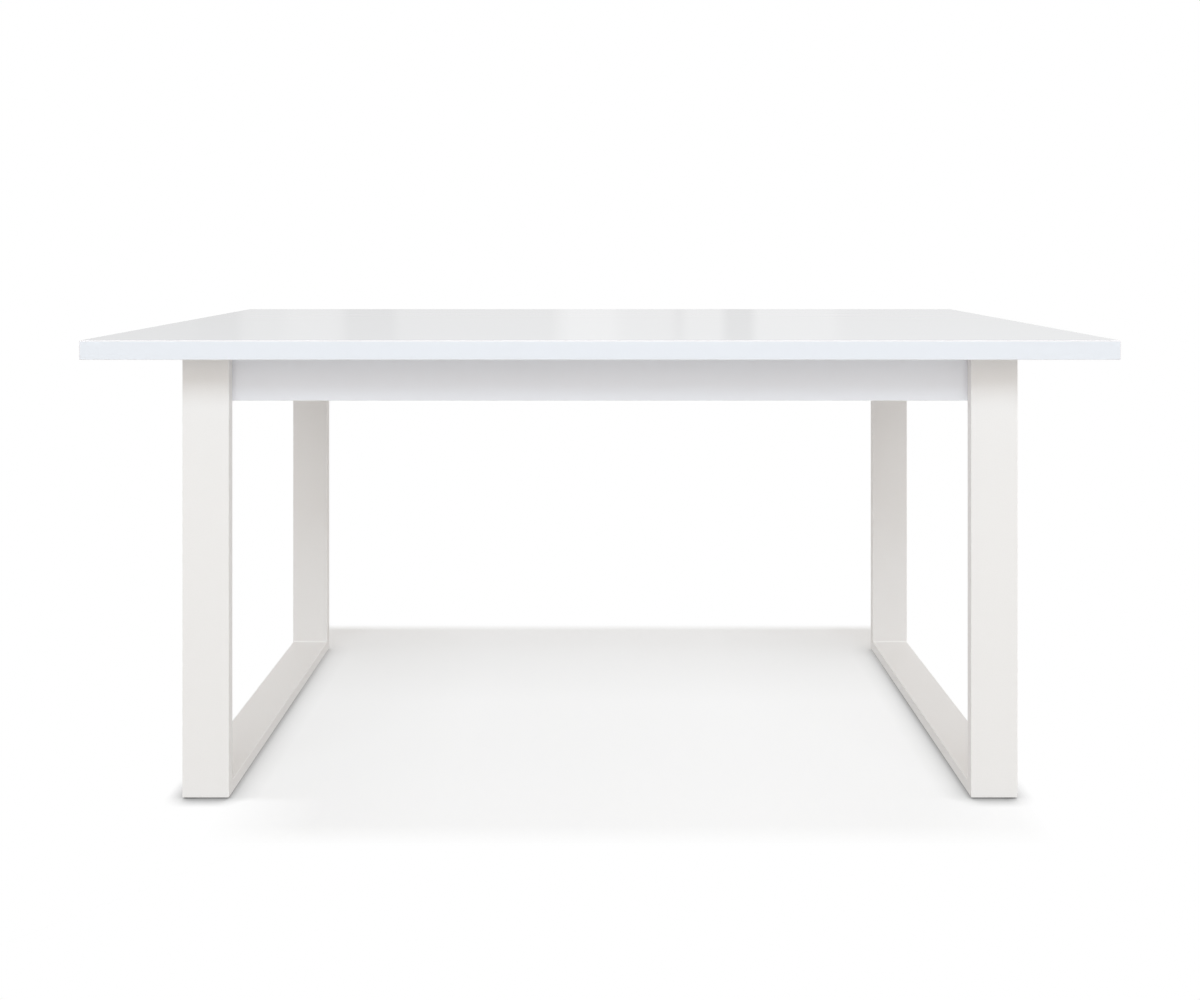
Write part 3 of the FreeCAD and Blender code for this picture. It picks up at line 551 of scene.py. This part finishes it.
# Softboxes: middle, point that each faces, width, height, brightness of the face beside white paper, colour.
# Gloss surfaces don't mirror them: what they mirror is the room that the world holds.
COOL = (0.90, 1.01, 1.09)
NEUTRAL = (1.0, 1.0, 1.0)
SOFTBOXES = {
    "front_key": ((0.0, -4.2, 3.36), (0.0, 0.0, 3.36), 7.0, 1.8, 3.17, COOL),
    "front_fill": ((0.0, -4.2, 1.85), (0.0, 0.0, 1.85), 7.0, 1.1, 1.04, NEUTRAL),
    "left_high": ((-2.8, 0.0, 3.0), (-0.6, 0.0, 0.2), 3.0, 1.8, 0.72, NEUTRAL),
    "right_high": ((2.8, 0.0, 3.0), (0.6, 0.0, 0.2), 3.0, 1.8, 1.04, NEUTRAL),
    "rear_fill": ((0.0, 4.6, 1.6), (0.0, 0.0, 1.6), 7.0, 3.0, 0.3, NEUTRAL),
}


def add_softbox(name, place, target, width, height, brightness, tint):
    light = bpy.data.lights.new(name, "AREA")
    light.shape = "RECTANGLE"
    light.size = width
    light.size_y = height
    light.energy = brightness * math.pi * width * height
    light.color = tint
    softbox = bpy.data.objects.new(name, light)
    softbox.location = place
    aim = Vector(target) - Vector(place)
    softbox.rotation_euler = aim.to_track_quat("-Z", "Y").to_euler()
    softbox.visible_camera = False
    softbox.visible_glossy = False
    bpy.context.scene.collection.objects.link(softbox)


def add_camera(top_box):
    """A level camera in front of the table, with the frame shifted down to the photographed view."""
    low, high = top_box
    camera_data = bpy.data.cameras.new("camera")
    camera_data.sensor_fit = "HORIZONTAL"
    camera_data.sensor_width = FILM_WIDTH_MM
    camera_data.lens = FILM_WIDTH_MM * FOCAL_LENGTH_PIXELS / PICTURE_WIDTH
    camera_data.shift_y = (HORIZON_ROW - PICTURE_HEIGHT / 2) / PICTURE_WIDTH
    camera = bpy.data.objects.new("camera", camera_data)
    camera.location = ((low.x + high.x) / 2, low.y - CAMERA_TO_TOP_EDGE, high.z + CAMERA_ABOVE_TOP)
    camera.rotation_euler = (math.radians(LEVEL_TILT_DEGREES), 0.0, 0.0)
    bpy.context.scene.collection.objects.link(camera)
    bpy.context.scene.camera = camera


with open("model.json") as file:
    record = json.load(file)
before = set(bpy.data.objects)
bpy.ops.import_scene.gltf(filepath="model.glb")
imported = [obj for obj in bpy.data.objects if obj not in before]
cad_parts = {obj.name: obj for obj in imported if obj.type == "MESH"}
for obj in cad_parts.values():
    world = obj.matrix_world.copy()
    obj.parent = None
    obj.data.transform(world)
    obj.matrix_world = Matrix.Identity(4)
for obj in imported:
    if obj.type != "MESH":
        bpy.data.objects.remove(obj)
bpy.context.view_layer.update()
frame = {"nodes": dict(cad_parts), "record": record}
dress(frame)
add_floor((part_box("left_floor_rail")[0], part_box("right_floor_rail")[1]))
add_world()
for softbox_name, settings in SOFTBOXES.items():
    add_softbox(softbox_name, *settings)
add_camera(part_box("table_top"))
bpy.context.scene.view_settings.view_transform = "Standard"
